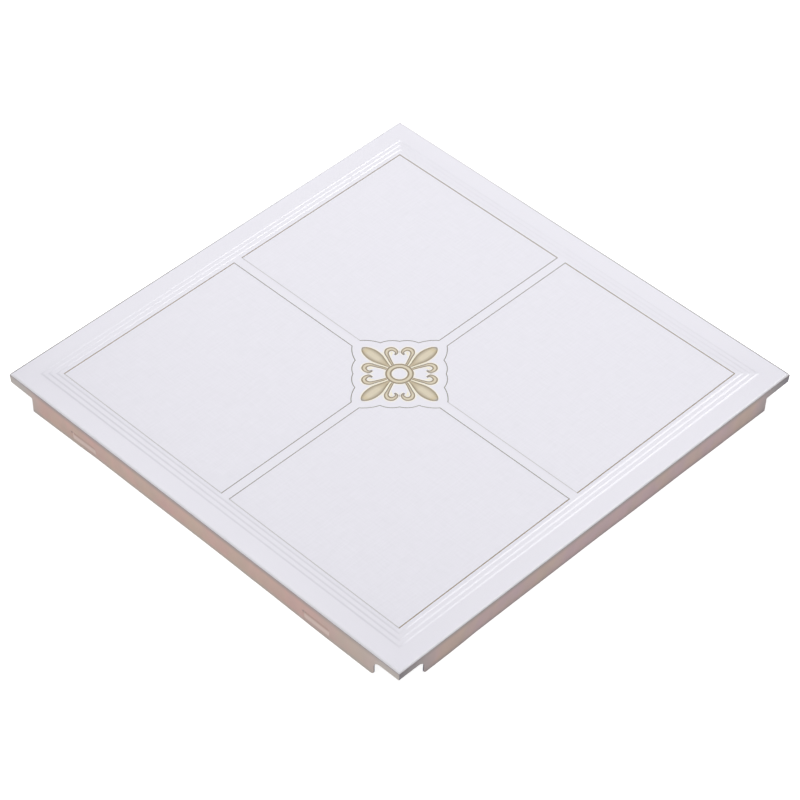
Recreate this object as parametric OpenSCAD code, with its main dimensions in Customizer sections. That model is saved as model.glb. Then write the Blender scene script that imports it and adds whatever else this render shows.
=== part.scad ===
// Clip-in tile of a suspended ceiling: one metal sheet with a stamped stepped border,
// folded down on four sides. It lies face up on the free edges of its flanges.
// The origin is in the middle of that plane, and +Z points out of the face.

/* [Sheet] */
// Side of the square tile, over its folds
tile_side = 300; // [200:5:600]
// Thickness of the sheet
sheet = 0.6; // [0.4:0.05:0.8]

/* [Stamped border] */
// Flat rim between the outer edge and the first riser
rim_width = 11.6; // [6:0.2:30]
// Number of steps that rise from the rim to the field
step_count = 3; // [1:1:6]
// Distance from one riser to the next
step_pitch = 3; // [2.2:0.1:6]
// Width of a riser, seen from above
riser_run = 1.5; // [1:0.1:2]
// Height of a riser
riser_rise = 0.15; // [0.1:0.05:0.4]

/* [Flanges] */
// Depth of the flanges below the rim
flange_depth = 16.2; // [12:0.2:30]
// Outer radius of the folds
fold_radius = 1; // [0.9:0.1:3]
// Angle by which the two flanges with catch pips are folded past square, in degrees
catch_lean = 1.2; // [0:0.2:5]
// Angle by which the two plain flanges are folded past square, in degrees
plain_lean = 5; // [0:0.2:6]

/* [Corner reliefs] */
// Depth of the lips that close the corners with rounded reliefs
round_lip = 5.6; // [4:0.1:7]
// Depth of the lips that close the corners with square reliefs
square_lip = 6.3; // [4:0.1:7]
// Length of a relief along the side, measured from the corner
relief_length = 18.2; // [10:0.2:30]
// Fillet between lip and flange at the corners with rounded reliefs
round_fillet = 4.4; // [1:0.1:5]
// Radius of the free flange corner at the rounded reliefs
round_tip = 2.6; // [0.5:0.1:3]
// Fillet between lip and flange at the corners with square reliefs
square_fillet = 0.5; // [0.2:0.1:1]
// Radius of the free flange corner at the square reliefs
square_tip = 0.4; // [0.2:0.1:1]

/* [Catch pips] */
// Length of a pip along the flange
pip_length = 19; // [10:1:40]
// Distance of a pip's middle from the tile's corner
pip_inset = 60; // [55:1:75]
// Depth below the rim at which the catch shoulder leaves the flange
pip_drop = 8.2; // [7:0.1:9]
// Fall of the catch shoulder from the flange to the crest of the pip
pip_rake = 0.6; // [0.2:0.1:1]
// Flat strip between the ramp of a pip and the flange's free edge
pip_margin = 1.8; // [0.8:0.1:2]
// Depth to which a pip is pressed into the flange
pip_depth = 1.7; // [0.5:0.1:2.5]

/* [Hidden] */
$fn = 96;
coat_colour = [0.92, 0.91, 0.94];
// Extra length of a cut beyond the skin that it passes
overcut = 1;
half_side = tile_side / 2;
// Centre of the fold's arcs in the section
bend_x = half_side - fold_radius;
bend_z = flange_depth - fold_radius;
// Radius of the two tangent arcs that make a riser
riser_radius = (riser_run * riser_run + riser_rise * riser_rise) / (4 * riser_rise);
// Where a relief starts, and how far it reaches in through a leaning flange
relief_start = half_side - relief_length;
relief_reach = half_side - flange_x(0, sheet, max(catch_lean, plain_lean)) + overcut;
// Outer face, shoulder, crest and ramp end of a pip, measured from the fold's centre in the leaning flange
pip_face = fold_radius;
pip_shoulder = fold_radius - pip_drop;
pip_crest = pip_shoulder - pip_rake;
pip_ramp_end = pip_margin - bend_z;

// Distance of a leaning flange's skin from the middle plane at height z, inset from its outer face
function flange_x(z, inset, lean) =
    bend_x + (fold_radius - inset + (z - bend_z) * sin(lean)) / cos(lean);

// Distance of the middle of riser i from the middle plane
function riser_x(i) = half_side - rim_width - riser_run / 2 - i * step_pitch;

// Area under the sheet's flat rim and flanges, with the rounded folds
module folded_area(inset, foot, lean) {
    r = fold_radius - inset;
    foot_x = flange_x(foot, inset, lean);
    tangent = [bend_x + r * cos(lean), bend_z - r * sin(lean)];
    polygon([
        [-foot_x, foot], [foot_x, foot], tangent, [bend_x, bend_z], [bend_x, bend_z + r],
        [-bend_x, bend_z + r], [-bend_x, bend_z], [-tangent.x, tangent.y]
    ]);
    for (side = [-1, 1]) translate([side * bend_x, bend_z]) circle(r);
}

// Area under step i: a plateau whose edges are two tangent arcs, convex above and concave below
module step_area(i, inset) {
    low = flange_depth + i * riser_rise;
    top = low + riser_rise;
    crest = riser_x(i) - riser_run / 2;
    toe = riser_x(i) + riser_run / 2;
    // Where the two arcs meet
    joint = riser_x(i) - inset * riser_run / (2 * riser_radius);
    base = low - inset - overcut;
    translate([-crest, base]) square([2 * crest, top - inset - base]);
    for (side = [0, 1]) mirror([side, 0]) {
        translate([crest, top - riser_radius]) circle(riser_radius - inset);
        difference() {
            translate([joint, base]) square([toe - joint, top - base]);
            translate([toe, low + riser_radius]) circle(riser_radius + inset);
        }
    }
}

// Area under the outer skin (inset 0) or the inner skin (inset of one sheet) of the section
module section_area(inset, foot, lean) {
    folded_area(inset, foot, lean);
    for (i = [0:step_count - 1]) step_area(i, inset);
}

// Solid with that section in both directions, so that sides and steps meet in mitres
module mitred(inset, foot) {
    intersection() {
        rotate([90, 0, 0]) linear_extrude(2 * tile_side, center = true)
            section_area(inset, foot, catch_lean);
        rotate([90, 0, 90]) linear_extrude(2 * tile_side, center = true)
            section_area(inset, foot, plain_lean);
    }
}

// Outline of a relief: a notch under the lip, with a filleted root and a rounded free corner
module relief_outline(lip, fillet, tip) {
    lip_edge = flange_depth - lip;
    difference() {
        translate([relief_start, -overcut]) square([relief_length + overcut, lip_edge + overcut]);
        translate([relief_start, lip_edge - fillet]) difference() {
            square(fillet);
            translate([fillet, 0]) circle(fillet);
        }
    }
    translate([relief_start - tip, 0]) difference() {
        translate([0, -overcut]) square([tip, tip + overcut]);
        translate([0, tip]) circle(tip);
    }
}

// Cut through the flange on the +X side, at its +Y end
module relief_cut(lip, fillet, tip) {
    translate([half_side - relief_reach, 0, 0]) rotate([90, 0, 90])
        linear_extrude(relief_reach + overcut) relief_outline(lip, fillet, tip);
}

// The two cuts of one corner, mirrored about its diagonal
module corner_relief(lip, fillet, tip) {
    relief_cut(lip, fillet, tip);
    mirror([1, -1, 0]) relief_cut(lip, fillet, tip);
}

// Places its children at the pips of the two catch flanges, in the leaning flange's own frame
module at_pips() {
    for (turn = [0, 180], end = [-1, 1])
        rotate(turn) translate([bend_x, end * (half_side - pip_inset), bend_z])
            rotate([0, catch_lean, 0]) rotate([90, 0, 0]) children();
}

// Inner face of a pip: a raked shoulder and a ramp, one sheet outside the recess
module pip_bulge() {
    middle = pip_face - sheet / 2;
    back = pip_face - sheet;
    linear_extrude(pip_length + 2 * sheet, center = true) polygon([
        [middle, pip_shoulder + sheet], [back, pip_shoulder + sheet],
        [back - pip_depth, pip_crest + sheet], [back - pip_depth, pip_crest],
        [back, pip_ramp_end], [middle, pip_ramp_end]
    ]);
}

// Outer face of a pip: the recess that the press leaves in the flange
module pip_recess() {
    linear_extrude(pip_length, center = true) polygon([
        [pip_face + overcut, pip_shoulder], [pip_face, pip_shoulder], [pip_face - pip_depth, pip_crest],
        [pip_face, pip_ramp_end], [pip_face + overcut, pip_ramp_end]
    ]);
}

module tile_pan() {
    color(coat_colour) difference() {
        union() {
            difference() {
                mitred(0, 0);
                mitred(sheet, -overcut);
            }
            at_pips() pip_bulge();
        }
        at_pips() pip_recess();
        for (turn = [0, 180]) {
            rotate(turn) corner_relief(round_lip, round_fillet, round_tip);
            rotate(turn + 90) corner_relief(square_lip, square_fillet, square_tip);
        }
    }
}

tile_pan();
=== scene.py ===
"""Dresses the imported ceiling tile: a stamped and folded sheet with a printed face, on a plain stage."""

import math

import bmesh
import bpy
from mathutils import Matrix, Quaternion, Vector
from mathutils.geometry import interpolate_bezier


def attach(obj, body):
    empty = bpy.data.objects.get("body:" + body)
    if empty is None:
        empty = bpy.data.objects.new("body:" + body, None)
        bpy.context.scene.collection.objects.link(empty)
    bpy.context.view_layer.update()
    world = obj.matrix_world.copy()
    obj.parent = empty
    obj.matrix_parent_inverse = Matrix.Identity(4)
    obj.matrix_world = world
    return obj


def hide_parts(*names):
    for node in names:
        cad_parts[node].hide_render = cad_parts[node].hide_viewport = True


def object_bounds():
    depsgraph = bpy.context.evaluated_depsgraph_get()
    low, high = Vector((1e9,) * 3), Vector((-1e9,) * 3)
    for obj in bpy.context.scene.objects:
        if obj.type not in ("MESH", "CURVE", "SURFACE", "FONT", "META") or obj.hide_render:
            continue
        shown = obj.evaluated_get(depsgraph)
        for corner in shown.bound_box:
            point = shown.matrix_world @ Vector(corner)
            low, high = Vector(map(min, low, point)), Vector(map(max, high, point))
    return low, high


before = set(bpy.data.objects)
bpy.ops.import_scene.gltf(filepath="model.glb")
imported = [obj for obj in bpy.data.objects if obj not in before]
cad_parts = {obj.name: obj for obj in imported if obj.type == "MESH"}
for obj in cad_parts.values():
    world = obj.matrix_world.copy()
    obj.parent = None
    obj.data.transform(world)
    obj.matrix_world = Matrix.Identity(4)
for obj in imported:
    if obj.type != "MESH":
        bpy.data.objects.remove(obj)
CAD_LOW, CAD_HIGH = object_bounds()

bl_info = {
    "name": "Printed ceiling tile",
    "version": (1, 0, 0),
    "blender": (4, 5, 0),
    "location": "View3D > Sidebar > Ceiling tile",
    "description": "Builds a clip-in ceiling tile with a stepped border and a printed rosette",
    "category": "Add Mesh",
}

MM = 0.001

# Thickness of the print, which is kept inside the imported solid's height
PRINT = 0.04 * MM

# Rise of the field over the rim
RISE = 0.45 * MM

# Signs of x times y at the corners with rounded and with square reliefs
ROUND_CORNER = 1
SQUARE_CORNER = -1

# Places of the coats in the sheet's list of materials, and of the prints in the panels' list
FACE, FILM_EDGE_SHADE, FLANGE, BACK, SHEARED, FOLD_HIGHLIGHT, FAR_FOLD_SHADE = range(7)
INNER_LINE, PANEL, FRAME_LINE, FAINT_LINE = range(4)

# How far round a fold the edge of the face coat starts, and the flange's coat, in degrees. The edge is
# darkened as painted shade
FILM_TURN = 68
FLANGE_TURN = 79

# Angle between two faces of the sheet past which their edge is sharp
SHARP = math.radians(38)

# Place by the back edge near which the painted shade on the far folds is pale, and the distances of its
# fade
PALE_PLACE = (110 * MM, 150 * MM, 0)
PALE_FADE = (-30 * MM, 200 * MM)

# Length over which a lip's coat blends into the flange's
LIP_BLEND = 3 * MM

# Where a catch flange's coat starts to turn grey towards a rounded relief, and over what length
FADE_START = 60 * MM
FADE_LENGTH = 70 * MM

# How far a flange's free edge stands inwards of its plane, at places along the flange, in millimetres
CATCH_SWAY = (
    (-132, -0.3), (-105, -0.3), (-90, -0.25), (-73, -0.04), (-56, 0.18), (-39, 0.25), (-22, 0.45),
    (-5, 0.5), (30, 0.45), (80, 0.5), (96, 0.15), (113, -0.05), (132, -0.3),
)
PLAIN_SWAY = (
    (-132, -0.15), (-112, -0.1), (-90, 0.36), (-5, 0.37), (30, 0.05),
    (60, 0.05), (95, -0.27), (112, -0.32), (130, -0.46),
)

# How dark a lip's painted dark reflection is: (flange, corner) to a share
LIP_DARKENING = {
    ("catch", ROUND_CORNER): 0.0,
    ("catch", SQUARE_CORNER): 0.1,
    ("plain", ROUND_CORNER): 0.57,
    ("plain", SQUARE_CORNER): 0.67,
}

# The rosette's outlines in millimetres, drawn for the leaf that points along +Y. Widths are to one side
LEAF_WIDTHS = (
    (7.6, 0.6), (10, 1.3), (12.5, 2.2), (15, 3.05), (17, 3.65), (19.7, 4.0),
    (22.5, 3.85), (25, 3.25), (27, 2.3), (28.3, 1.25), (29.1, 0.02),
)
SCROLL_LINE = (
    (2.3, 7.6), (3.4, 10.4), (4.95, 13.7), (6.3, 16.4), (8.5, 17.6),
    (10.6, 16.8), (11.25, 15.0), (10.9, 13.3), (9.9, 12.5), (8.6, 12.4),
)
SCROLL_WIDTHS = (0.75, 0.85, 0.95, 1.25, 1.5, 1.45, 1.25, 1.0, 0.75, 0.45)
STRIPE_LINE = ((1.2, 7.9), (1.95, 10.3), (3.1, 13.8), (4.1, 16.4), (4.75, 18.8))
STRIPE_WIDTHS = (0.36, 0.44, 0.42, 0.34, 0.12)
HOOK_LINE = ((6.3, 12.9), (7.6, 14.4), (9.1, 15.3))
HOOK_WIDTHS = (0.3, 1.0, 0.9)

# How far the pale glow stands out round the gilt shapes, in millimetres
GLOW = 0.85

# Shades that the gilt is multiplied by along a strip, from its start to its end
WHITE = (1, 1, 1)
SHADE = (0.74, 0.69, 0.6)
WARM = (0.9, 0.86, 0.74)
COOL = (0.76, 0.75, 0.76)
DUSK = (0.42, 0.42, 0.5)
LEAF_SHADES = (
    (0, SHADE), (0.14, SHADE), (0.36, WHITE), (0.64, WHITE), (0.77, WARM), (0.84, COOL), (0.92, DUSK),
)
SCROLL_SHADES = ((0, SHADE), (0.2, COOL), (0.36, WHITE), (0.66, WHITE), (0.8, COOL), (0.92, DUSK))
RING_SHADES = ((0, WHITE), (1, WHITE))

# Brown specks in the gilt
SPECK = (0.35, 0.27, 0.15)

# Softboxes: name, setting of the power, place, width and depth, in metres
SOFTBOXES = (
    ("overhead_softbox", "key", (0.2, -0.1, 1.6), 1.2, 1.2),
    ("window_softbox", "window", (0.86, 0.86, 1.25), 0.84, 0.72),
    ("front_glint_softbox", "front_glint", (0.96, 0.12, 1.3), 0.54, 0.8),
    ("back_glint_softbox", "back_glint", (0.9, 1.42, 0.76), 0.8, 0.36),
    ("right_glint_softbox", "right_glint", (1.45, 0.83, 0.7), 0.7, 0.35),
    ("left_fill_softbox", "left_fill", (-1.3, -0.1, 0.45), 0.6, 0.6),
    ("front_fill_softbox", "front_fill", (-0.1, -1.3, 0.45), 0.6, 0.6),
)
CAMERA_PLACE = (-0.863724, -0.86557, 1.222092)
FLOOR_REACH = 6
FLOOR_GLOW = 0.9


def srgb(red, green, blue):
    """Linear colour of three display values from 0 to 255."""
    shares = (red / 255, green / 255, blue / 255)
    return tuple(c / 12.92 if c <= 0.04045 else ((c + 0.055) / 1.055) ** 2.4 for c in shares)


def length(name, description, default):
    """A property that holds a length in metres."""
    return bpy.props.FloatProperty(
        name=name, description=description, default=default, min=0, unit="LENGTH", precision=5
    )


def power(name, description, watts):
    """A property that holds a lamp's power."""
    return bpy.props.FloatProperty(name=name, description=description, default=watts, min=0, unit="POWER")


def angle(name, description, degrees):
    """A property that holds an angle."""
    return bpy.props.FloatProperty(
        name=name, description=description, default=math.radians(degrees), unit="ROTATION"
    )


def colour(name, description, red, green, blue):
    """A property that holds a colour, given by its display values."""
    return bpy.props.FloatVectorProperty(
        name=name, description=description, subtype="COLOR", min=0, max=1, default=srgb(red, green, blue)
    )


class SheetSizes(bpy.types.PropertyGroup):
    """Sizes of the folded sheet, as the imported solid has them."""

    side: length("Side", "Side of the square tile, over its folds", CAD_HIGH.x - CAD_LOW.x)
    height: length("Height", "Height of the field above the free edges", CAD_HIGH.z - CAD_LOW.z - PRINT)
    rim: length("Rim height", "Height of the rim above the free edges", CAD_HIGH.z - CAD_LOW.z - RISE)
    thickness: length("Thickness", "Thickness of the sheet", 0.6 * MM)
    rim_width: length("Rim width", "Flat rim between the outer edge and the first riser", 11.6 * MM)
    step_count: bpy.props.IntProperty(
        name="Steps", description="Number of steps from the rim to the field", default=3, min=1
    )
    step_pitch: length("Step pitch", "Distance from one riser to the next", 3 * MM)
    riser_run: length("Riser run", "Width of a riser, seen from above", 1.5 * MM)
    fold_radius: length("Fold radius", "Outer radius of the folds", 1 * MM)
    catch_lean: angle("Catch lean", "How far the flanges with pips are folded past square", 1.2)
    plain_lean: angle("Plain lean", "How far the plain flanges are folded past square", 5)
    round_lip: length("Round lip", "Depth of the lips at the corners with rounded reliefs", 5.6 * MM)
    square_lip: length("Square lip", "Depth of the lips at the corners with square reliefs", 6.3 * MM)
    relief_length: length("Relief length", "Length of a corner relief along the side", 18.2 * MM)
    round_fillet: length("Round fillet", "Fillet between lip and flange, rounded reliefs", 4.4 * MM)
    round_tip: length("Round tip", "Radius of the free flange corner, rounded reliefs", 2.6 * MM)
    square_fillet: length("Square fillet", "Fillet between lip and flange, square reliefs", 0.5 * MM)
    square_tip: length("Square tip", "Radius of the free flange corner, square reliefs", 0.4 * MM)
    pip_length: length("Pip length", "Length of a catch pip along the flange", 19 * MM)
    pip_inset: length("Pip inset", "Distance of a pip's middle from the corner", 60 * MM)
    pip_drop: length("Pip drop", "Depth below the rim of a pip's shoulder", 8.2 * MM)
    pip_rake: length("Pip rake", "Fall of a pip's shoulder to its crest", 0.6 * MM)
    pip_margin: length("Pip margin", "Flat strip between a pip's ramp and the free edge", 1.8 * MM)
    pip_depth: length("Pip depth", "Depth to which a pip is pressed in", 1.7 * MM)
    pip_end: length("Pip end", "Length of the sloped end of a pip", 0.9 * MM)

    @property
    def half(self):
        return self.side / 2

    @property
    def riser_rise(self):
        return (self.height - self.rim) / self.step_count

    @property
    def bend_x(self):
        return self.half - self.fold_radius

    @property
    def bend_z(self):
        return self.rim - self.fold_radius

    @property
    def relief_start(self):
        return self.half - self.relief_length


class PrintSizes(bpy.types.PropertyGroup):
    """Sizes of the print on the face."""

    film: length("Film", "Thickness of a printed film", PRINT)
    line_width: length("Line width", "Width of the lines round the panels", 0.46 * MM)
    frame_extra: length("Frame extra", "How much wider the outermost lines are", 0.1 * MM)
    panel_reach: length("Panel reach", "Distance of the panels' outer lines from the middle", 129.08 * MM)
    front_inset: length("Front inset", "How much further in the front line is printed", 0.2 * MM)
    band_half: length("Band half width", "Half the width of the plain bands between panels", 2.8 * MM)
    scallop_start: length("Scallop start", "Where a band meets the scalloped field", 33.7 * MM)
    cusp_near: length("Cusp, near", "Smaller distance of a side cusp from the axes", 9.5 * MM)
    cusp_far: length("Cusp, far", "Larger distance of a side cusp from the axes", 24.35 * MM)
    cusp_diagonal: length("Cusp, diagonal", "Distance of the diagonal cusp from the axes", 17.75 * MM)
    outer_bulge: length("Outer bulge", "Rise of the outer lobes over their chords", 0.8 * MM)
    inner_bulge: length("Inner bulge", "Rise of the inner lobes over their chords", 1.18 * MM)
    shift: bpy.props.FloatVectorProperty(
        name="Shift", description="Place of the print's middle, off the tile's middle", size=2,
        default=(-0.4 * MM, -0.35 * MM), unit="LENGTH", precision=5,
    )
    ring_inner: length("Ring, inner", "Inner radius of the rosette's ring", 4.4 * MM)
    ring_outer: length("Ring, outer", "Outer radius of the rosette's ring", 7.8 * MM)


class Finishes(bpy.types.PropertyGroup):
    """Colours of the coats and the print."""

    face: colour("Face coat", "Satin white coat of the face", 241, 239, 249)
    # Painted highlight: a lighter coat where the near folds start, also the pale end of the far folds'
    # painted shade
    fold: colour("Fold coat", "Stretched face coat at the start of the folds", 247, 245, 251)
    # Partly the real end of the face coat, partly painted shade, darker than either coat, where the near
    # folds turn down
    film_edge_and_shade: colour("Film edge", "Edge of the face coat on the folds", 156, 148, 149)
    # Painted shade on the far folds
    far_fold_shade_colour: colour("Shaded film edge", "Edge of the face coat on the far folds", 124, 118, 119)
    catch: colour("Catch flange", "Champagne coat of the flanges with pips", 214, 186, 169)
    catch_rose: colour("Catch flange, rose", "Rose clouds on the flanges with pips", 221, 180, 171)
    plain: colour("Plain flange", "Champagne coat of the plain flanges", 209, 181, 167)
    plain_mauve: colour("Plain flange, mauve", "Mauve clouds on the plain flanges", 208, 176, 180)
    # Lip coat and drawn metal: painted dark reflection on the corner lips; the drawn colour also gives the
    # painted shade at the pips' ends, and the cut edge
    lip: colour("Lip coat", "Grey coat of the drawn corner lips", 206, 196, 190)
    drawn: colour("Drawn metal", "Dark metal of the drawn corner lips", 59, 48, 78)
    # Painted highlight on the up-facing ramps of the pips
    ramp_highlight: colour("Rubbed coat", "Coat rubbed light on the ramps of the pips", 238, 216, 208)
    # Painted shade under the shoulder of a pip
    shoulder_shade: colour("Groove", "Groove under the shoulder of a pip", 200, 168, 157)
    back: colour("Back coat", "Primer on the inside", 186, 182, 176)
    line: colour("Line", "Inner lines round the panels", 123, 117, 108)
    frame_line: colour("Frame line", "Golden brown outermost lines", 135, 117, 90)
    # Printed lines, paler on each panel's -X side as painted light
    faint_line: colour("Faint line", "Lines on the left side of each panel", 199, 196, 200)
    gilt_light: colour("Gilt, light", "Middle of the gilt shapes", 238, 226, 200)
    gilt_dark: colour("Gilt, dark", "Outlines of the gilt shapes", 153, 136, 106)
    glow: colour("Glow", "Pale glow round the gilt shapes", 254, 247, 241)
    cream: colour("Cream", "Highlights between the leaves and the scrolls", 255, 245, 219)


class StageSettings(bpy.types.PropertyGroup):
    """Floor, light and camera."""

    floor: colour("Floor", "Pale floor", 205, 205, 205)
    world: bpy.props.FloatProperty(
        name="Room light", description="Strength of the even light", default=0.25, min=0
    )
    key: power("Key", "Softbox overhead", 5.4)
    window: power("Window", "Softbox that shows in the flat face", 2.6)
    front_glint: power("Front glint", "Softbox that shows in the front risers", 5.1)
    back_glint: power("Back glint", "Softbox that shows in the back risers", 4)
    right_glint: power("Right glint", "Softbox that shows in the right risers", 0.6)
    left_fill: power("Left fill", "Low softbox on the left", 3.6)
    front_fill: power("Front fill", "Low softbox in front", 1.2)
    lens: bpy.props.FloatProperty(
        name="Lens", description="Focal length", default=142.1906, subtype="DISTANCE_CAMERA"
    )
    azimuth: angle("Azimuth", "Direction of the camera round the tile", -44.9482)
    elevation: angle("Elevation", "Height of the camera over the horizon", 45.0787)
    roll: angle("Roll", "Turn of the camera about its own axis", -0.0209)


# Meshes


def section_half(sizes, height, lean):
    """Half width of the outer skin at a height on a fold or a flange."""
    drop = height - sizes.bend_z
    radius = sizes.fold_radius
    if drop > -radius * math.sin(lean):
        return sizes.bend_x + math.sqrt(max(radius * radius - drop * drop, 0))
    return sizes.bend_x + (radius + drop * math.sin(lean)) / math.cos(lean)


def riser_profile(sizes, step, segments=4):
    """Points of one riser from its crest to its toe: two tangent arcs, as half width and height."""
    run, rise = sizes.riser_run, sizes.riser_rise
    radius = (run * run + rise * rise) / (4 * rise)
    sweep = math.asin(run / 2 / radius)
    middle = sizes.half - sizes.rim_width - run / 2 - step * sizes.step_pitch
    low = sizes.rim + step * rise
    turns = [sweep * k / segments for k in range(segments + 1)]
    arc = [(radius * math.sin(turn), radius * (1 - math.cos(turn))) for turn in turns]
    crest = [(middle - run / 2 + out, low + rise - fall) for out, fall in arc]
    toe = [(middle + run / 2 - out, low + fall) for out, fall in reversed(arc[:-1])]
    return crest + toe


def lip_corner(sizes, depth):
    """Half widths in X and Y and height of the corner in which two lips of a depth meet."""
    height = sizes.rim - depth
    leans = (sizes.catch_lean, sizes.plain_lean)
    return (*(section_half(sizes, height, lean) for lean in leans), height)


def sheet_rings(sizes, fold_segments=8):
    """Half widths in X and Y and height of every ring of the pan, from the field out to the lips' edge."""
    rings = []
    for step in reversed(range(sizes.step_count)):
        rings += [(half, half, height) for half, height in riser_profile(sizes, step)]
    flat_end = sizes.bend_x - sizes.fold_radius / 4
    rings.append((flat_end, flat_end, sizes.rim))
    for k in range(fold_segments + 1):
        turn = math.pi / 2 * (1 - k / fold_segments)
        half = sizes.bend_x + sizes.fold_radius * math.cos(turn)
        rings.append((half, half, sizes.bend_z + sizes.fold_radius * math.sin(turn)))
    rings.append(lip_corner(sizes, sizes.round_lip))
    return rings


def grow_ring(bm, edges, half_x, half_y, height):
    """Extrudes a ring of edges to a new size and height, and gives the new ring."""
    grown = bmesh.ops.extrude_edge_only(bm, edges=edges)["geom"]
    verts = {v for v in grown if isinstance(v, bmesh.types.BMVert)}
    for vert in verts:
        vert.co = (math.copysign(half_x, vert.co.x), math.copysign(half_y, vert.co.y), height)
    return [e for e in grown if isinstance(e, bmesh.types.BMEdge) and verts.issuperset(e.verts)]


def add_flange(bm, sizes, edge):
    """Drops a flange from the edge of a lip, and rounds the reliefs at its two ends."""
    first, last = edge.verts
    along = 0 if abs(first.co.x - last.co.x) > abs(first.co.y - last.co.y) else 1
    across = 1 - along
    lean = sizes.catch_lean if across == 0 else sizes.plain_lean
    near = bmesh.utils.edge_split(edge, first, 0.3)[1]
    rest = next(e for e in near.link_edges if last in e.verts)
    far = bmesh.utils.edge_split(rest, last, 0.3)[1]
    for root, corner in ((near, first), (far, last)):
        root.co = corner.co
        root.co[along] = math.copysign(sizes.relief_start, corner.co[along])
    root_edge = bm.edges.get((near, far))
    grown = bmesh.ops.extrude_edge_only(bm, edges=[root_edge])["geom"]
    tips = [v for v in grown if isinstance(v, bmesh.types.BMVert)]
    for tip in tips:
        tip.co[across] = math.copysign(section_half(sizes, 0, lean), tip.co[across])
        tip.co.z = 0
    bmesh.ops.dissolve_edges(bm, edges=[root_edge], use_verts=False)
    for roots, fillet_round, fillet_square in (
        ([near, far], sizes.round_fillet, sizes.square_fillet),
        (tips, sizes.round_tip, sizes.square_tip),
    ):
        for vert in roots:
            rounded = vert.co.x * vert.co.y > 0
            bmesh.ops.bevel(
                bm, geom=[vert], offset=fillet_round if rounded else fillet_square, offset_type="OFFSET",
                segments=8 if rounded else 3, profile=0.5, affect="VERTICES", material=-1,
                clamp_overlap=False,
            )


def everything(bm):
    """All that a bmesh holds, as its operators take it."""
    return bm.verts[:] + bm.edges[:] + bm.faces[:]


def cut(bm, axis, places):
    """Cuts the whole mesh along planes square to an axis."""
    normal = Vector((0, 0, 0))
    normal[axis] = 1
    for place in places:
        bmesh.ops.bisect_plane(
            bm, geom=everything(bm), dist=1e-7, plane_co=normal * place, plane_no=normal
        )


def eased(share):
    """Smooth step from 0 to 1."""
    share = min(max(share, 0), 1)
    return share * share * (3 - 2 * share)


def along_curve(points, place):
    """Value at a place on a smooth curve through (place, value) points."""
    for (start, low), (end, high) in zip(points, points[1:]):
        if place <= end:
            return low + (high - low) * eased((place - start) / (end - start))
    return points[-1][1]


def flange_of(sizes, vert):
    """The axis that a flange vertex's side faces along: 0 for the catch flanges, 1 for the plain ones."""
    gap_x = abs(section_half(sizes, vert.co.z, sizes.catch_lean) - abs(vert.co.x))
    gap_y = abs(section_half(sizes, vert.co.z, sizes.plain_lean) - abs(vert.co.y))
    return 0 if gap_x <= gap_y else 1


def pip_press(sizes, along, height):
    """Depth to which the catch flange is pressed in at a place."""
    middle = sizes.half - sizes.pip_inset
    end = sizes.pip_length / 2 - abs(abs(along) - middle)
    drop = sizes.rim - height
    crest = sizes.pip_drop + sizes.pip_rake
    ramp_end = sizes.rim - sizes.pip_margin
    if drop <= crest:
        share = (drop - sizes.pip_drop) / sizes.pip_rake
    else:
        share = (ramp_end - drop) / (ramp_end - crest)
    return sizes.pip_depth * min(max(share, 0), 1) * eased(end / sizes.pip_end)


def pip_end_shade(sizes, along, height):
    """1 where painted shade darkens the +Y end of a pip's shoulder, and 0 elsewhere."""
    reach = (sizes.pip_length - sizes.pip_end) / 2
    gap = min(abs(along - side * (sizes.half - sizes.pip_inset) - reach) for side in (-1, 1))
    drop = sizes.rim - height - sizes.pip_drop
    slack = 0.1 * MM
    return eased(1.5 - gap / sizes.pip_end) if slack < drop < sizes.pip_rake + slack else 0


def sway(sizes, axis, along, height):
    """How far a flange bends inwards of its plane at a place, as thin flanges do."""
    curve = CATCH_SWAY if axis == 0 else PLAIN_SWAY
    depth = min(max((sizes.bend_z - height) / sizes.bend_z, 0), 1)
    stiff = eased((sizes.half - abs(along)) / sizes.relief_length)
    return MM * along_curve(curve, along / MM) * depth ** 1.5 * stiff


def bend_flanges(sizes, bm):
    """Presses the pips and bends the flanges a little."""
    for vert in bm.verts:
        if vert.co.z > sizes.bend_z:
            continue
        axis = flange_of(sizes, vert)
        along, height = vert.co[1 - axis], vert.co.z
        inwards = sway(sizes, axis, along, height)
        if axis == 0:
            inwards += pip_press(sizes, along, height)
        vert.co[axis] -= math.copysign(1, vert.co[axis]) * inwards


def note_coat_and_shade(sizes, bm):
    """Notes on the flanges' face corners what their coat needs: kind of flange and lips, and masks for
    painted reflection, highlight and shade.
    """
    names = ("catch", "lip", "drawn", "pressed", "torn")
    catch, lip, drawn, pressed, torn = (bm.loops.layers.float.new(name) for name in names)
    for face in bm.faces:
        if face.calc_center_median().z > sizes.bend_z:
            continue
        axis = 0 if abs(face.normal.x) > abs(face.normal.y) else 1
        for loop in face.loops:
            place = loop.vert.co
            along = place[1 - axis]
            corner = ROUND_CORNER if place.x * place.y > 0 else SQUARE_CORNER
            strength = LIP_DARKENING[("catch" if axis == 0 else "plain", corner)]
            from_blend = abs(along) - sizes.relief_start + LIP_BLEND
            reach = max(from_blend / (sizes.relief_length + LIP_BLEND), 0)
            fades = axis == 0 and corner == ROUND_CORNER
            faded = eased((abs(along) - FADE_START) / FADE_LENGTH) if fades else 0
            loop[catch] = 1 - axis
            # The lips grey and darken towards the corners as painted dark reflection
            loop[lip] = max(eased(4 * reach), 0.45 * faded)
            loop[drawn] = strength * eased(4 * reach) * (0.7 + 0.6 * reach**2)
            loop[pressed] = pip_press(sizes, along, place.z) / sizes.pip_depth if axis == 0 else 0
            loop[torn] = pip_end_shade(sizes, along, place.z) if axis == 0 else 0


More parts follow.
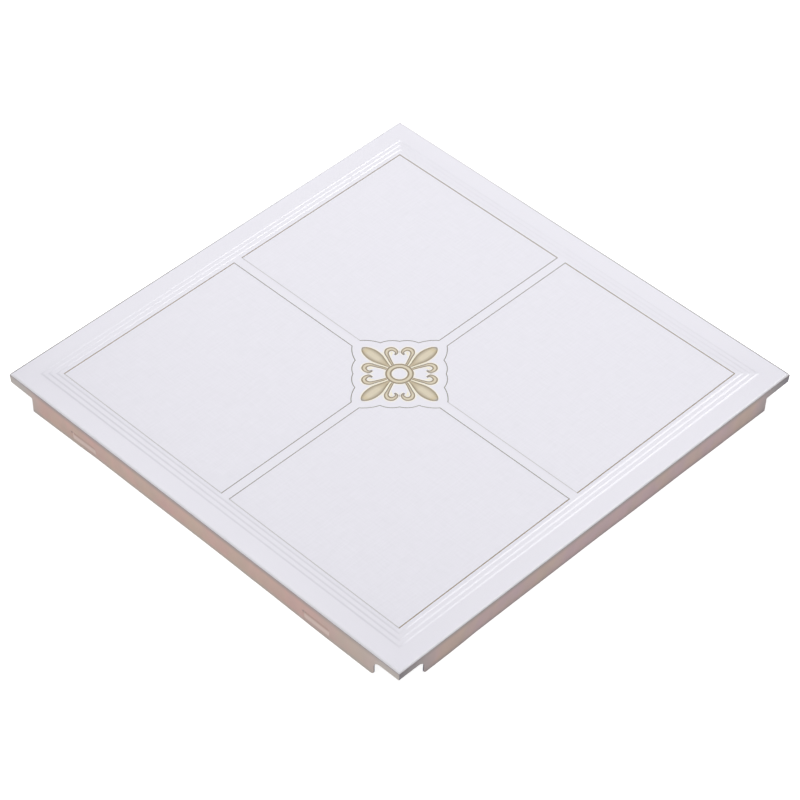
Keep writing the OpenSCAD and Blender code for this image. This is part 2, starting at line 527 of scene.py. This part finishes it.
def coat_on_fold(sizes, place):
    """Which coat a place on the outer skin has: the face coat, a lighter coat as painted highlight where
    the near folds start, their coat edge with painted shade, painted shade on the far folds, or the
    flange's coat.
    """
    rise = (place.z - sizes.bend_z) / sizes.fold_radius
    turn = 90 - math.degrees(math.asin(min(max(rise, -1), 1)))
    if turn > FLANGE_TURN:
        return FLANGE
    if max(place.x, place.y) > sizes.bend_x:
        return FAR_FOLD_SHADE
    if turn > FILM_TURN:
        return FILM_EDGE_SHADE
    return FOLD_HIGHLIGHT if max(abs(place.x), abs(place.y)) > sizes.bend_x else FACE


def build_skin(sizes):
    """The outer skin of the pan as a bmesh: field, stepped border, folds, lips and plain flanges."""
    bm = bmesh.new()
    rings = sheet_rings(sizes)
    half, _, height = rings[0]
    field = bmesh.ops.create_grid(bm, x_segments=1, y_segments=1, size=half)["verts"]
    bmesh.ops.translate(bm, verts=field, vec=(0, 0, height))
    edges = bm.edges[:]
    for ring in rings[1:]:
        edges = grow_ring(bm, edges, *ring)
    half_x, half_y, height = lip_corner(sizes, sizes.square_lip)
    for vert in {vert for edge in edges for vert in edge.verts if vert.co.x * vert.co.y < 0}:
        vert.co = (math.copysign(half_x, vert.co.x), math.copysign(half_y, vert.co.y), height)
    for edge in edges:
        add_flange(bm, sizes, edge)
    bmesh.ops.recalc_face_normals(bm, faces=bm.faces[:])
    field_face = max(bm.faces, key=lambda face: face.calc_area())
    if field_face.normal.z < 0:
        bmesh.ops.reverse_faces(bm, faces=bm.faces[:])
    return bm


def cut_skin(sizes, bm):
    """Cuts the skin where the flanges bend, where the pips are pressed and where the coat changes."""
    even = [sizes.relief_start * k / 14 for k in range(-14, 15)]
    pip_middle, pip_half = sizes.half - sizes.pip_inset, sizes.pip_length / 2
    ends = [pip_half + sizes.pip_end * k / 2 for k in (3, 1, 0, -1, -2, -4)]
    pips = [side * (pip_middle + turn * end) for side in (-1, 1) for turn in (-1, 1) for end in ends]
    lips = [side * (sizes.half - sizes.relief_length * k / 3) for side in (-1, 1) for k in (1, 2)]
    least_gap = 0.6 * MM
    clear = [place for place in even if min(abs(place - pip) for pip in pips) > least_gap]
    cut(bm, 0, even + lips)
    cut(bm, 1, clear + pips + lips)
    crest = sizes.pip_drop + sizes.pip_rake
    ramp_end = sizes.rim - sizes.pip_margin
    below_fold, above_lip_edge, above_pip = 1.2 * MM, 1.5 * MM, 0.9 * MM
    drops = [sizes.fold_radius + below_fold, sizes.round_lip - above_lip_edge, sizes.round_lip]
    drops.append(sizes.pip_drop - above_pip)
    drops += [sizes.pip_drop + sizes.pip_rake * k / 3 for k in range(4)]
    drops += [crest + (ramp_end - crest) * k / 4 for k in range(1, 5)]
    cut(bm, 2, [sizes.rim - drop for drop in drops])
    bm.normal_update()


def build_sheet(sizes):
    """The pan as a bmesh, with the bends of its flanges, its pips and the sheet's thickness."""
    bm = build_skin(sizes)
    cut_skin(sizes, bm)
    note_coat_and_shade(sizes, bm)
    bend_flanges(sizes, bm)
    for face in bm.faces:
        face.material_index = coat_on_fold(sizes, face.calc_center_median())
    outer = bm.faces[:]
    bm.normal_update()
    bmesh.ops.solidify(bm, geom=outer, thickness=sizes.thickness)
    for vert in bm.verts:
        vert.co.z = max(vert.co.z, 0)
    skin = set(outer)
    inner = {face for face in bm.faces if face not in skin}
    for face in inner:
        cut_edge = any(other in skin for edge in face.edges for other in edge.link_faces)
        face.material_index = SHEARED if cut_edge else BACK
    bm.normal_update()
    for edge in bm.edges:
        edge.smooth = edge.calc_face_angle(0) < SHARP
    for face in bm.faces:
        face.smooth = True
    return bm


def finish_piece(bm, name, materials, node=None):
    """Makes a bmesh into a piece of the tile that rides on its one body."""
    mesh = bpy.data.meshes.new(name)
    bm.to_mesh(mesh)
    bm.free()
    piece = bpy.data.objects.new(name, mesh)
    bpy.context.scene.collection.objects.link(piece)
    for material in materials:
        mesh.materials.append(material)
    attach(piece, "root")
    if node:
        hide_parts(node)


def moved(bm, shift):
    """Moves a print to its place on the face."""
    bmesh.ops.translate(bm, verts=bm.verts[:], vec=(*shift, 0))
    return bm


def thicken(bm, film):
    """Makes flat films closed, by their thickness downwards."""
    bmesh.ops.solidify(bm, geom=bm.faces[:], thickness=film)


def add_lobe(bm, start, end, bulge):
    """Spins an arc of edges from a vertex to a place, bulging to the left, and gives its last vertex."""
    chord = end - start.co
    left = Vector((-chord.y, chord.x, 0)).normalized()
    radius = (chord.length_squared / 4 + bulge * bulge) / (2 * bulge)
    centre = start.co + chord / 2 + left * (bulge - radius)
    turn = 4 * math.atan(2 * bulge / chord.length)
    spun = bmesh.ops.spin(bm, geom=[start], cent=centre, axis=(0, 0, -1), angle=turn, steps=10)
    last = next(v for v in spun["geom_last"] if isinstance(v, bmesh.types.BMVert))
    last.co = end
    return last


def line_kind(sizes, face):
    """Which line a face of a panel's edge belongs to. The line on a panel's -X side is paler, as painted
    light.
    """
    middle = face.calc_center_median()
    longest = max(face.edges, key=lambda edge: edge.calc_length())
    upright = abs(longest.verts[0].co.x - longest.verts[1].co.x) < sizes.line_width
    if upright and longest.calc_length() > sizes.scallop_start:
        if middle.x < -sizes.scallop_start or 0 < middle.x < sizes.scallop_start:
            return FAINT_LINE
    margin = 1 * MM
    outermost = max(abs(middle.x), abs(middle.y)) > sizes.panel_reach - margin
    return FRAME_LINE if outermost else INNER_LINE


def build_panels(sizes, top):
    """Four printed panels with scalloped inner corners: a line round each, and a textured field in it."""
    bm = bmesh.new()
    band, start = sizes.band_half, sizes.scallop_start
    near, far, diagonal = sizes.cusp_near, sizes.cusp_far, sizes.cusp_diagonal
    first = bm.verts.new((band, start, top))
    last = first
    for place, bulge in (
        ((near, far), sizes.outer_bulge),
        ((diagonal, diagonal), sizes.inner_bulge),
        ((far, near), sizes.inner_bulge),
        ((start, band), sizes.outer_bulge),
    ):
        last = add_lobe(bm, last, Vector((*place, top)), bulge)
    reach = sizes.panel_reach
    for place in ((reach, band), (reach, reach), (band, reach)):
        corner = bmesh.ops.extrude_vert_indiv(bm, verts=[last])["verts"][0]
        corner.co = (*place, top)
        last = corner
    bm.edges.new((last, first))
    panel = bmesh.ops.edgeloop_fill(bm, edges=bm.edges[:])["faces"]
    bmesh.ops.recalc_face_normals(bm, faces=panel)
    if panel[0].normal.z < 0:
        bmesh.ops.reverse_faces(bm, faces=panel)
    lines = bmesh.ops.inset_region(
        bm, faces=panel, thickness=sizes.line_width, use_even_offset=True, use_boundary=True
    )["faces"]
    for face in bm.faces:
        face.material_index = INNER_LINE if face in lines else PANEL
    for vert in bm.verts:
        for axis in (0, 1):
            if abs(vert.co[axis] - reach + sizes.line_width) < 1e-6:
                vert.co[axis] -= sizes.frame_extra
    bmesh.ops.spin(
        bm, geom=everything(bm), cent=(0, 0, 0), axis=(0, 0, 1), angle=math.pi * 1.5, steps=3,
        use_duplicate=True,
    )
    for face in bm.faces:
        if face.material_index == INNER_LINE:
            face.material_index = line_kind(sizes, face)
    for vert in bm.verts:
        if vert.co.y < 2 * sizes.line_width - reach:
            vert.co.y += sizes.front_inset
    thicken(bm, sizes.film)
    return bm


def smooth_line(points, steps):
    """Points of a smooth curve through a few points, with the given steps between each two."""
    ends = [Vector((*p, 0)) for p in points]
    line = []
    for k, (here, there) in enumerate(zip(ends, ends[1:])):
        before = ends[k - 1] if k else here
        after = ends[k + 2] if k + 2 < len(ends) else there
        leave, arrive = here + (there - before) / 6, there - (after - here) / 6
        line += interpolate_bezier(here, leave, arrive, there, steps + 1)[:-1]
    line.append(ends[-1])
    return line


def add_strip(bm, line, half_widths, columns=6):
    """Bends a unit grid along a line, to a width that changes along it. Its map runs across and along."""
    rows = len(line) - 1
    verts = bmesh.ops.create_grid(bm, x_segments=columns, y_segments=rows, size=0.5, calc_uvs=True)["verts"]
    for vert in verts:
        row = round((vert.co.y + 0.5) * rows)
        ahead, behind = line[min(row + 1, rows)], line[max(row - 1, 0)]
        heading = (ahead - behind).normalized()
        side = Vector((heading.y, -heading.x, 0))
        vert.co = line[row] + side * (2 * vert.co.x * half_widths[row])


def spread_values(values, steps):
    """Values between a few given ones, to go with smooth_line."""
    return [p.x for p in smooth_line([(value, 0) for value in values], steps)]


def repeat_round(bm, mirrored):
    """Repeats what is drawn for one leaf on all four, with its mirror image where it is one of a pair."""
    if mirrored:
        bmesh.ops.mirror(bm, geom=everything(bm), merge_dist=-1, axis="X")
    bmesh.ops.spin(
        bm, geom=everything(bm), cent=(0, 0, 0), axis=(0, 0, 1), angle=math.pi * 1.5, steps=3,
        use_duplicate=True,
    )


def build_strips(points, widths, top, film, mirrored, steps=6):
    """Printed strips along a smooth line, repeated round the rosette."""
    bm = bmesh.new()
    bm.loops.layers.uv.new("print")
    line = [p * MM for p in smooth_line(points, steps)]
    halves = [max(value, 0) * MM for value in spread_values(widths, steps)]
    add_strip(bm, line, halves)
    bmesh.ops.remove_doubles(bm, verts=bm.verts[:], dist=1e-6)
    repeat_round(bm, mirrored)
    bmesh.ops.translate(bm, verts=bm.verts[:], vec=(0, 0, top))
    bmesh.ops.recalc_face_normals(bm, faces=bm.faces[:])
    for face in bm.faces:
        if face.normal.z < 0:
            face.normal_flip()
    thicken(bm, film)
    return bm


def build_ring(inner, outer, top, film, segments=96):
    """The rosette's ring, a strip bent round a circle and closed."""
    bm = bmesh.new()
    bm.loops.layers.uv.new("print")
    middle, half = (inner + outer) / 2, (outer - inner) / 2
    verts = bmesh.ops.create_grid(bm, x_segments=6, y_segments=segments, size=0.5, calc_uvs=True)["verts"]
    for vert in verts:
        turn = 2 * math.pi * vert.co.y
        radius = middle + 2 * half * vert.co.x
        vert.co = (radius * math.cos(turn), radius * math.sin(turn), top)
    bmesh.ops.remove_doubles(bm, verts=bm.verts[:], dist=1e-6)
    bm.normal_update()
    for face in bm.faces:
        if face.normal.z < 0:
            face.normal_flip()
    thicken(bm, film)
    return bm


# Materials


def add_node(tree, kind, inputs=None, **settings):
    """Adds a shader node, with its settings, and with values or links on its sockets."""
    made = tree.nodes.new(kind)
    for name, value in settings.items():
        setattr(made, name, value)
    for name, value in (inputs or {}).items():
        if isinstance(value, bpy.types.NodeSocket):
            tree.links.new(value, made.inputs[name])
        else:
            made.inputs[name].default_value = value
    return made


def mix_colour(tree, share, first, second, blend_type="MIX"):
    """Mixes two colours or colour sockets."""
    mix = add_node(tree, "ShaderNodeMix", data_type="RGBA", blend_type=blend_type)
    for socket, value in ((mix.inputs[0], share), (mix.inputs[6], first), (mix.inputs[7], second)):
        if isinstance(value, bpy.types.NodeSocket):
            tree.links.new(value, socket)
        else:
            socket.default_value = value if isinstance(value, (int, float)) else (*value, 1)
    return mix.outputs[2]


def arithmetic(tree, operation, *values):
    """A maths node on values and sockets."""
    return add_node(tree, "ShaderNodeMath", dict(enumerate(values)), operation=operation).outputs[0]


def ramp(tree, share, stops):
    """A colour ramp with (place, colour) stops."""
    made = add_node(tree, "ShaderNodeValToRGB", {"Fac": share})
    elements = made.color_ramp.elements
    while len(elements) < len(stops):
        elements.new(0.5)
    for element, (place, shade) in zip(elements, stops):
        element.position = place
        element.color = (*shade, 1)
    return made.outputs["Color"]


def noise(tree, vector, scale, detail=3):
    """A noise value from 0 to 1."""
    settings = {"Vector": vector, "Scale": scale, "Detail": detail}
    return add_node(tree, "ShaderNodeTexNoise", settings).outputs[0]


def spread(tree, value, low, high):
    """A share from 0 to 1 where a value goes from low to high."""
    settings = {0: value, 1: low, 2: high}
    return add_node(tree, "ShaderNodeMapRange", settings, interpolation_type="SMOOTHSTEP").outputs[0]


def mesh_share(tree, name):
    """A share that the mesh carries on its face corners."""
    return add_node(tree, "ShaderNodeAttribute", attribute_name=name).outputs["Fac"]


def new_material(name, **sockets):
    """A material with one Principled shader, whose constants are set on its sockets."""
    material = bpy.data.materials.new(name)
    material.use_nodes = True
    shader = material.node_tree.nodes["Principled BSDF"]
    for socket, value in sockets.items():
        shader.inputs[socket.replace("_", " ")].default_value = value
    return material, material.node_tree, shader


def object_coords(tree, scale=(1, 1, 1)):
    """Object coordinates, stretched by a scale."""
    coords = add_node(tree, "ShaderNodeTexCoord").outputs["Object"]
    return add_node(tree, "ShaderNodeMapping", {"Vector": coords, "Scale": scale}).outputs[0]


def bump(tree, shader, height, strength, distance):
    """Gives a shader a bump from a height socket."""
    made = add_node(tree, "ShaderNodeBump", {"Height": height, "Strength": strength, "Distance": distance})
    tree.links.new(made.outputs[0], shader.inputs["Normal"])


def satin_coat(name, shade):
    """Smooth satin coat with a faint unevenness of colour and gloss."""
    material, tree, shader = new_material(name, Specular_IOR_Level=1.0)
    coords = object_coords(tree)
    cloud = noise(tree, coords, 14)
    tint = mix_colour(tree, cloud, [c * 0.985 for c in shade], [min(c * 1.012, 1) for c in shade])
    tree.links.new(tint, shader.inputs["Base Color"])
    gloss = add_node(tree, "ShaderNodeMapRange", {0: noise(tree, coords, 60), 3: 0.15, 4: 0.21})
    tree.links.new(gloss.outputs[0], shader.inputs["Roughness"])
    bump(tree, shader, noise(tree, coords, 700), 0.05, 0.00004)
    return material


def linen_coat(name, shade):
    """Satin white coat with a fine linen grain in both directions."""
    material, tree, shader = new_material(name, Roughness=0.24, Specular_IOR_Level=1.0)
    warp = noise(tree, object_coords(tree, (900, 90, 1)), 1, 2)
    weft = noise(tree, object_coords(tree, (90, 900, 1)), 1, 2)
    grain = arithmetic(tree, "MULTIPLY", arithmetic(tree, "ADD", warp, weft), 0.5)
    tint = mix_colour(tree, grain, [c * 0.937 for c in shade], [min(c * 1.056, 1) for c in shade])
    tree.links.new(tint, shader.inputs["Base Color"])
    bump(tree, shader, grain, 0.18, 0.00005)
    return material


def champagne_coat(name, finishes, rim):
    """Champagne coat of the flanges: clouded, with painted shade under the fold, darker towards the free
    edge, lips greyed and darkened as painted reflection, and painted highlight and shade on the pips.
    """
    material, tree, shader = new_material(name, Metallic=0.1, Roughness=0.45)
    coords = object_coords(tree, (1, 1, 0.5))
    patches = arithmetic(tree, "MULTIPLY", noise(tree, coords, 70, 2), 0.5)
    clouds = arithmetic(tree, "MULTIPLY_ADD", noise(tree, coords, 28, 2), 0.5, patches)
    cloud = spread(tree, clouds, 0.38, 0.62)
    catch = mix_colour(tree, cloud, finishes.catch, finishes.catch_rose)
    plain = mix_colour(tree, cloud, finishes.plain, finishes.plain_mauve)
    tint = mix_colour(tree, mesh_share(tree, "catch"), plain, catch)
    fine = spread(tree, noise(tree, coords, 130, 2), 0.3, 0.7)
    tint = mix_colour(tree, arithmetic(tree, "MULTIPLY", fine, 0.12), tint, finishes.film_edge_and_shade)
    lip = mesh_share(tree, "lip")
    # Painted dark reflection: the lips grey towards the corners
    tint = mix_colour(tree, lip, tint, finishes.lip)
    height = add_node(tree, "ShaderNodeSeparateXYZ", {0: object_coords(tree)}).outputs["Z"]
    # Painted shade on the top of the flange, under the fold, weaker on the lips
    painted_fold_shade = spread(tree, height, rim - 4.5 * MM, rim - 0.8 * MM)
    painted_fold_shade = arithmetic(tree, "MULTIPLY", painted_fold_shade, arithmetic(tree, "MULTIPLY_ADD", lip, -0.5, 0.65))
    tint = mix_colour(tree, painted_fold_shade, tint, finishes.film_edge_and_shade)
    # Darker towards the free edge, over its lowest 4 mm
    free_edge = arithmetic(tree, "MULTIPLY", spread(tree, height, 4 * MM, 0), 0.65)
    free_edge_grey = mix_colour(tree, mesh_share(tree, "catch"), finishes.film_edge_and_shade, finishes.back)
    tint = mix_colour(tree, free_edge, tint, free_edge_grey)
    # Painted dark reflection, darkest at the lips' corner ends
    tint = mix_colour(tree, mesh_share(tree, "drawn"), tint, finishes.drawn)
    pressed = mesh_share(tree, "pressed")
    # Painted highlight on the pips' ramps
    tint = mix_colour(tree, spread(tree, pressed, 0.0, 0.3), tint, finishes.ramp_highlight)
    # Painted shade under the pips' shoulders
    tint = mix_colour(tree, spread(tree, pressed, 0.44, 0.66), tint, finishes.shoulder_shade)
    # Painted shade at the deep end of each pip
    torn = arithmetic(tree, "MULTIPLY", mesh_share(tree, "torn"), 0.5)
    tint = mix_colour(tree, torn, tint, finishes.drawn)
    tree.links.new(tint, shader.inputs["Base Color"])
    bump(tree, shader, noise(tree, object_coords(tree), 900), 0.04, 0.00004)
    return material


def plain_coat(name, shade, roughness, metallic=0.0, gloss=0.5):
    """Plain coat with a faint cloud in it."""
    sockets = {"Roughness": roughness, "Metallic": metallic, "Specular_IOR_Level": gloss}
    material, tree, shader = new_material(name, **sockets)
    cloud = noise(tree, object_coords(tree), 80)
    tint = mix_colour(tree, cloud, [c * 0.95 for c in shade], [min(c * 1.04, 1) for c in shade])
    tree.links.new(tint, shader.inputs["Base Color"])
    return material


def fading_painted_shade(name, shade, pale, pale_place):
    """Painted shade on a coat edge, paler near one place and with its full shade further off."""
    material, tree, shader = new_material(name, Roughness=0.6, Specular_IOR_Level=0.0)
    settings = {0: object_coords(tree), 1: pale_place}
    reach = add_node(tree, "ShaderNodeVectorMath", settings, operation="DISTANCE").outputs["Value"]
    tint = mix_colour(tree, spread(tree, reach, *PALE_FADE), pale, shade)
    tree.links.new(tint, shader.inputs["Base Color"])
    return material


def gilt_print(name, across_stops, along_stops):
    """Gilt print shaded across a strip, and multiplied by a shade along it."""
    material, tree, shader = new_material(name, Roughness=0.4)
    chart = add_node(tree, "ShaderNodeUVMap", uv_map="print").outputs[0]
    place = add_node(tree, "ShaderNodeSeparateXYZ", {0: chart})
    from_middle = arithmetic(tree, "ABSOLUTE", arithmetic(tree, "MULTIPLY_ADD", place.outputs["X"], 2, -1))
    across = ramp(tree, from_middle, across_stops)
    along = ramp(tree, place.outputs["Y"], along_stops)
    tint = mix_colour(tree, 1, across, along, "MULTIPLY")
    speck = noise(tree, object_coords(tree), 1500, 1)
    tint = mix_colour(tree, arithmetic(tree, "MULTIPLY", speck, 0.12), tint, SPECK)
    tree.links.new(tint, shader.inputs["Base Color"])
    return material


# Operators


class TILE_OT_sheet(bpy.types.Operator):
    """Build the stamped and folded sheet"""

    bl_idname = "tile.sheet"
    bl_label = "Folded sheet"

    def execute(self, context):
        sizes, finishes = context.scene.sheet_sizes, context.scene.finishes
        materials = [
            satin_coat("satin_face_coat", finishes.face),
            # Coat edge on the near folds, with painted shade
            plain_coat("face_coat_edge", finishes.film_edge_and_shade, 0.6, 0.0, 0.0),
            champagne_coat("champagne_flange_coat", finishes, sizes.rim),
            plain_coat("back_primer", finishes.back, 0.6),
            plain_coat("sheared_edge", finishes.drawn, 0.45, 0.4),
            # Painted highlight on the start of the near folds
            satin_coat("stretched_fold_coat", finishes.fold),
            # Painted shade on the far folds, paler near the back corner
            fading_painted_shade("shaded_coat_edge", finishes.far_fold_shade_colour, finishes.fold, PALE_PLACE),
        ]
        finish_piece(build_sheet(sizes), "tile_sheet", materials, "tile_pan")
        return {"FINISHED"}


class TILE_OT_panels(bpy.types.Operator):
    """Print the four panels with their lines"""

    bl_idname = "tile.panels"
    bl_label = "Printed panels"

    def execute(self, context):
        sizes, finishes = context.scene.print_sizes, context.scene.finishes
        top = context.scene.sheet_sizes.height + sizes.film / 2
        materials = [
            plain_coat("inner_line", finishes.line, 0.45),
            linen_coat("linen_panel", finishes.face),
            plain_coat("frame_line", finishes.frame_line, 0.45),
            plain_coat("faint_line", finishes.faint_line, 0.3),
        ]
        finish_piece(moved(build_panels(sizes, top), sizes.shift), "panel_prints", materials)
        return {"FINISHED"}


class TILE_OT_rosette(bpy.types.Operator):
    """Print the rosette: ring, leaves, scrolls and highlights"""

    bl_idname = "tile.rosette"
    bl_label = "Printed rosette"

    def execute(self, context):
        sizes, finishes = context.scene.print_sizes, context.scene.finishes
        film = sizes.film
        top = context.scene.sheet_sizes.height + film / 2
        under = top - film / 4
        light, dark = finishes.gilt_light, finishes.gilt_dark
        middle, outline = ([a + (b - a) * share for a, b in zip(light, dark)] for share in (0.35, 0.85))
        broad = ((0, light), (0.28, light), (0.6, middle), (0.84, outline), (1, outline))
        narrow = ((0, light), (0.3, light), (0.62, dark), (1, dark))
        leaf_gilt = gilt_print("leaf_gilt", broad, LEAF_SHADES)
        scroll_gilt = gilt_print("scroll_gilt", narrow, SCROLL_SHADES)
        ring_gilt = gilt_print("ring_gilt", narrow, RING_SHADES)
        glow = plain_coat("gilt_glow", finishes.glow, 0.2, 0.0, 1.0)
        cream = plain_coat("cream_highlight", finishes.cream, 0.2, 0.0, 1.0)
        leaf_line = [(0, place) for place, _ in LEAF_WIDTHS]
        leaf_widths = [width for _, width in LEAF_WIDTHS]
        wide_leaves, wide_scrolls = ([w + GLOW for w in widths] for widths in (leaf_widths, SCROLL_WIDTHS))
        strips = (
            ("rosette_leaf_glow", leaf_line, wide_leaves, under, False, glow),
            ("rosette_scroll_glow", SCROLL_LINE, wide_scrolls, under - film / 8, True, glow),
            ("rosette_hook_glow", HOOK_LINE, HOOK_WIDTHS, under - film / 5, True, cream),
            ("rosette_leaves", leaf_line, leaf_widths, top, False, leaf_gilt),
            ("rosette_scrolls", SCROLL_LINE, SCROLL_WIDTHS, top, True, scroll_gilt),
            ("rosette_stripes", STRIPE_LINE, STRIPE_WIDTHS, top + film / 4, True, cream),
        )
        for name, line, widths, height, mirrored, material in strips:
            bm = build_strips(line, widths, height, film, mirrored)
            finish_piece(moved(bm, sizes.shift), name, [material])
        rings = (
            ("rosette_ring_glow", GLOW * MM, under - film / 16, glow),
            ("rosette_ring", 0, top + film / 2, ring_gilt),
        )
        for name, extra, height, material in rings:
            bm = build_ring(sizes.ring_inner - extra, sizes.ring_outer + extra, height, film)
            finish_piece(moved(bm, sizes.shift), name, [material])
        return {"FINISHED"}


def add_softbox(name, watts, place, width, depth):
    """A softbox at a place, turned to the middle of the tile."""
    light = bpy.data.lights.new(name, "AREA")
    light.shape = "RECTANGLE"
    light.energy, light.size, light.size_y = watts, width, depth
    lamp = bpy.data.objects.new(name, light)
    lamp.location = place
    lamp.rotation_mode = "QUATERNION"
    lamp.rotation_quaternion = (-Vector(place)).to_track_quat("-Z", "Y")
    bpy.context.scene.collection.objects.link(lamp)


def seen_directly(tree):
    """1 for rays that show the stage itself: to the camera, or in a gloss or a glass."""
    path = add_node(tree, "ShaderNodeLightPath").outputs
    either = arithmetic(tree, "MAXIMUM", path["Is Camera Ray"], path["Is Glossy Ray"])
    return arithmetic(tree, "MAXIMUM", either, path["Is Transmission Ray"])


def add_floor(stage):
    """A pale floor, which shows as white and keeps the tile's shadow."""
    bm = bmesh.new()
    bmesh.ops.create_grid(bm, x_segments=1, y_segments=1, size=FLOOR_REACH)
    mesh = bpy.data.meshes.new("floor")
    bm.to_mesh(mesh)
    bm.free()
    floor = bpy.data.objects.new("floor", mesh)
    bpy.context.scene.collection.objects.link(floor)
    material, tree, shader = new_material("pale_floor", Roughness=0.9)
    shader.inputs["Base Color"].default_value = (*stage.floor, 1)
    shader.inputs["Emission Color"].default_value = (1, 1, 1, 1)
    glow = arithmetic(tree, "MULTIPLY", seen_directly(tree), FLOOR_GLOW)
    tree.links.new(glow, shader.inputs["Emission Strength"])
    mesh.materials.append(material)


def add_room(stage):
    """An even room light, which shows as white."""
    world = bpy.data.worlds.new("studio")
    bpy.context.scene.world = world
    world.use_nodes = True
    tree = world.node_tree
    sky = tree.nodes["Background"]
    sky.inputs["Color"].default_value = (1, 1, 1, 1)
    strength = add_node(tree, "ShaderNodeMapRange", {0: seen_directly(tree), 3: stage.world, 4: 1.0})
    tree.links.new(strength.outputs[0], sky.inputs["Strength"])


def add_camera(stage):
    """The camera at the photograph's viewing angle."""
    camera_data = bpy.data.cameras.new("photo_camera")
    camera_data.sensor_width = 36
    camera_data.lens = stage.lens
    camera = bpy.data.objects.new("photo_camera", camera_data)
    camera.location = CAMERA_PLACE
    around, up = stage.azimuth, stage.elevation
    back = Vector((math.sin(around) * math.cos(up), -math.cos(around) * math.cos(up), math.sin(up)))
    camera.rotation_mode = "QUATERNION"
    camera.rotation_quaternion = (-back).to_track_quat("-Z", "Y") @ Quaternion((0, 0, 1), stage.roll)
    bpy.context.scene.collection.objects.link(camera)
    bpy.context.scene.camera = camera


class TILE_OT_stage(bpy.types.Operator):
    """Set the floor, the light and the camera"""

    bl_idname = "tile.stage"
    bl_label = "Stage"

    def execute(self, context):
        stage = context.scene.stage_settings
        add_floor(stage)
        add_room(stage)
        for name, setting, place, width, depth in SOFTBOXES:
            add_softbox(name, getattr(stage, setting), place, width, depth)
        add_camera(stage)
        context.scene.view_settings.view_transform = "Standard"
        return {"FINISHED"}


class TILE_PT_panel(bpy.types.Panel):
    """Sizes, finishes and pieces of the ceiling tile"""

    bl_idname = "TILE_PT_panel"
    bl_label = "Ceiling tile"
    bl_space_type = "VIEW_3D"
    bl_region_type = "UI"
    bl_category = "Ceiling tile"

    def draw(self, context):
        layout = self.layout
        for operator in OPERATORS:
            layout.operator(operator.bl_idname)
        for name, group in GROUPS.items():
            box = layout.box()
            for key in group.__annotations__:
                box.prop(getattr(context.scene, name), key)


OPERATORS = (TILE_OT_sheet, TILE_OT_panels, TILE_OT_rosette, TILE_OT_stage)
GROUPS = {
    "sheet_sizes": SheetSizes,
    "print_sizes": PrintSizes,
    "finishes": Finishes,
    "stage_settings": StageSettings,
}


def register():
    for group in GROUPS.values():
        bpy.utils.register_class(group)
    for name, group in GROUPS.items():
        setattr(bpy.types.Scene, name, bpy.props.PointerProperty(type=group))
    for operator in OPERATORS:
        bpy.utils.register_class(operator)
    bpy.utils.register_class(TILE_PT_panel)


def unregister():
    bpy.utils.unregister_class(TILE_PT_panel)
    for operator in reversed(OPERATORS):
        bpy.utils.unregister_class(operator)
    for name, group in reversed(GROUPS.items()):
        delattr(bpy.types.Scene, name)
        bpy.utils.unregister_class(group)


def main():
    register()
    bpy.ops.tile.sheet()
    bpy.ops.tile.panels()
    bpy.ops.tile.rosette()
    bpy.ops.tile.stage()


if __name__ == "__main__":
    main()
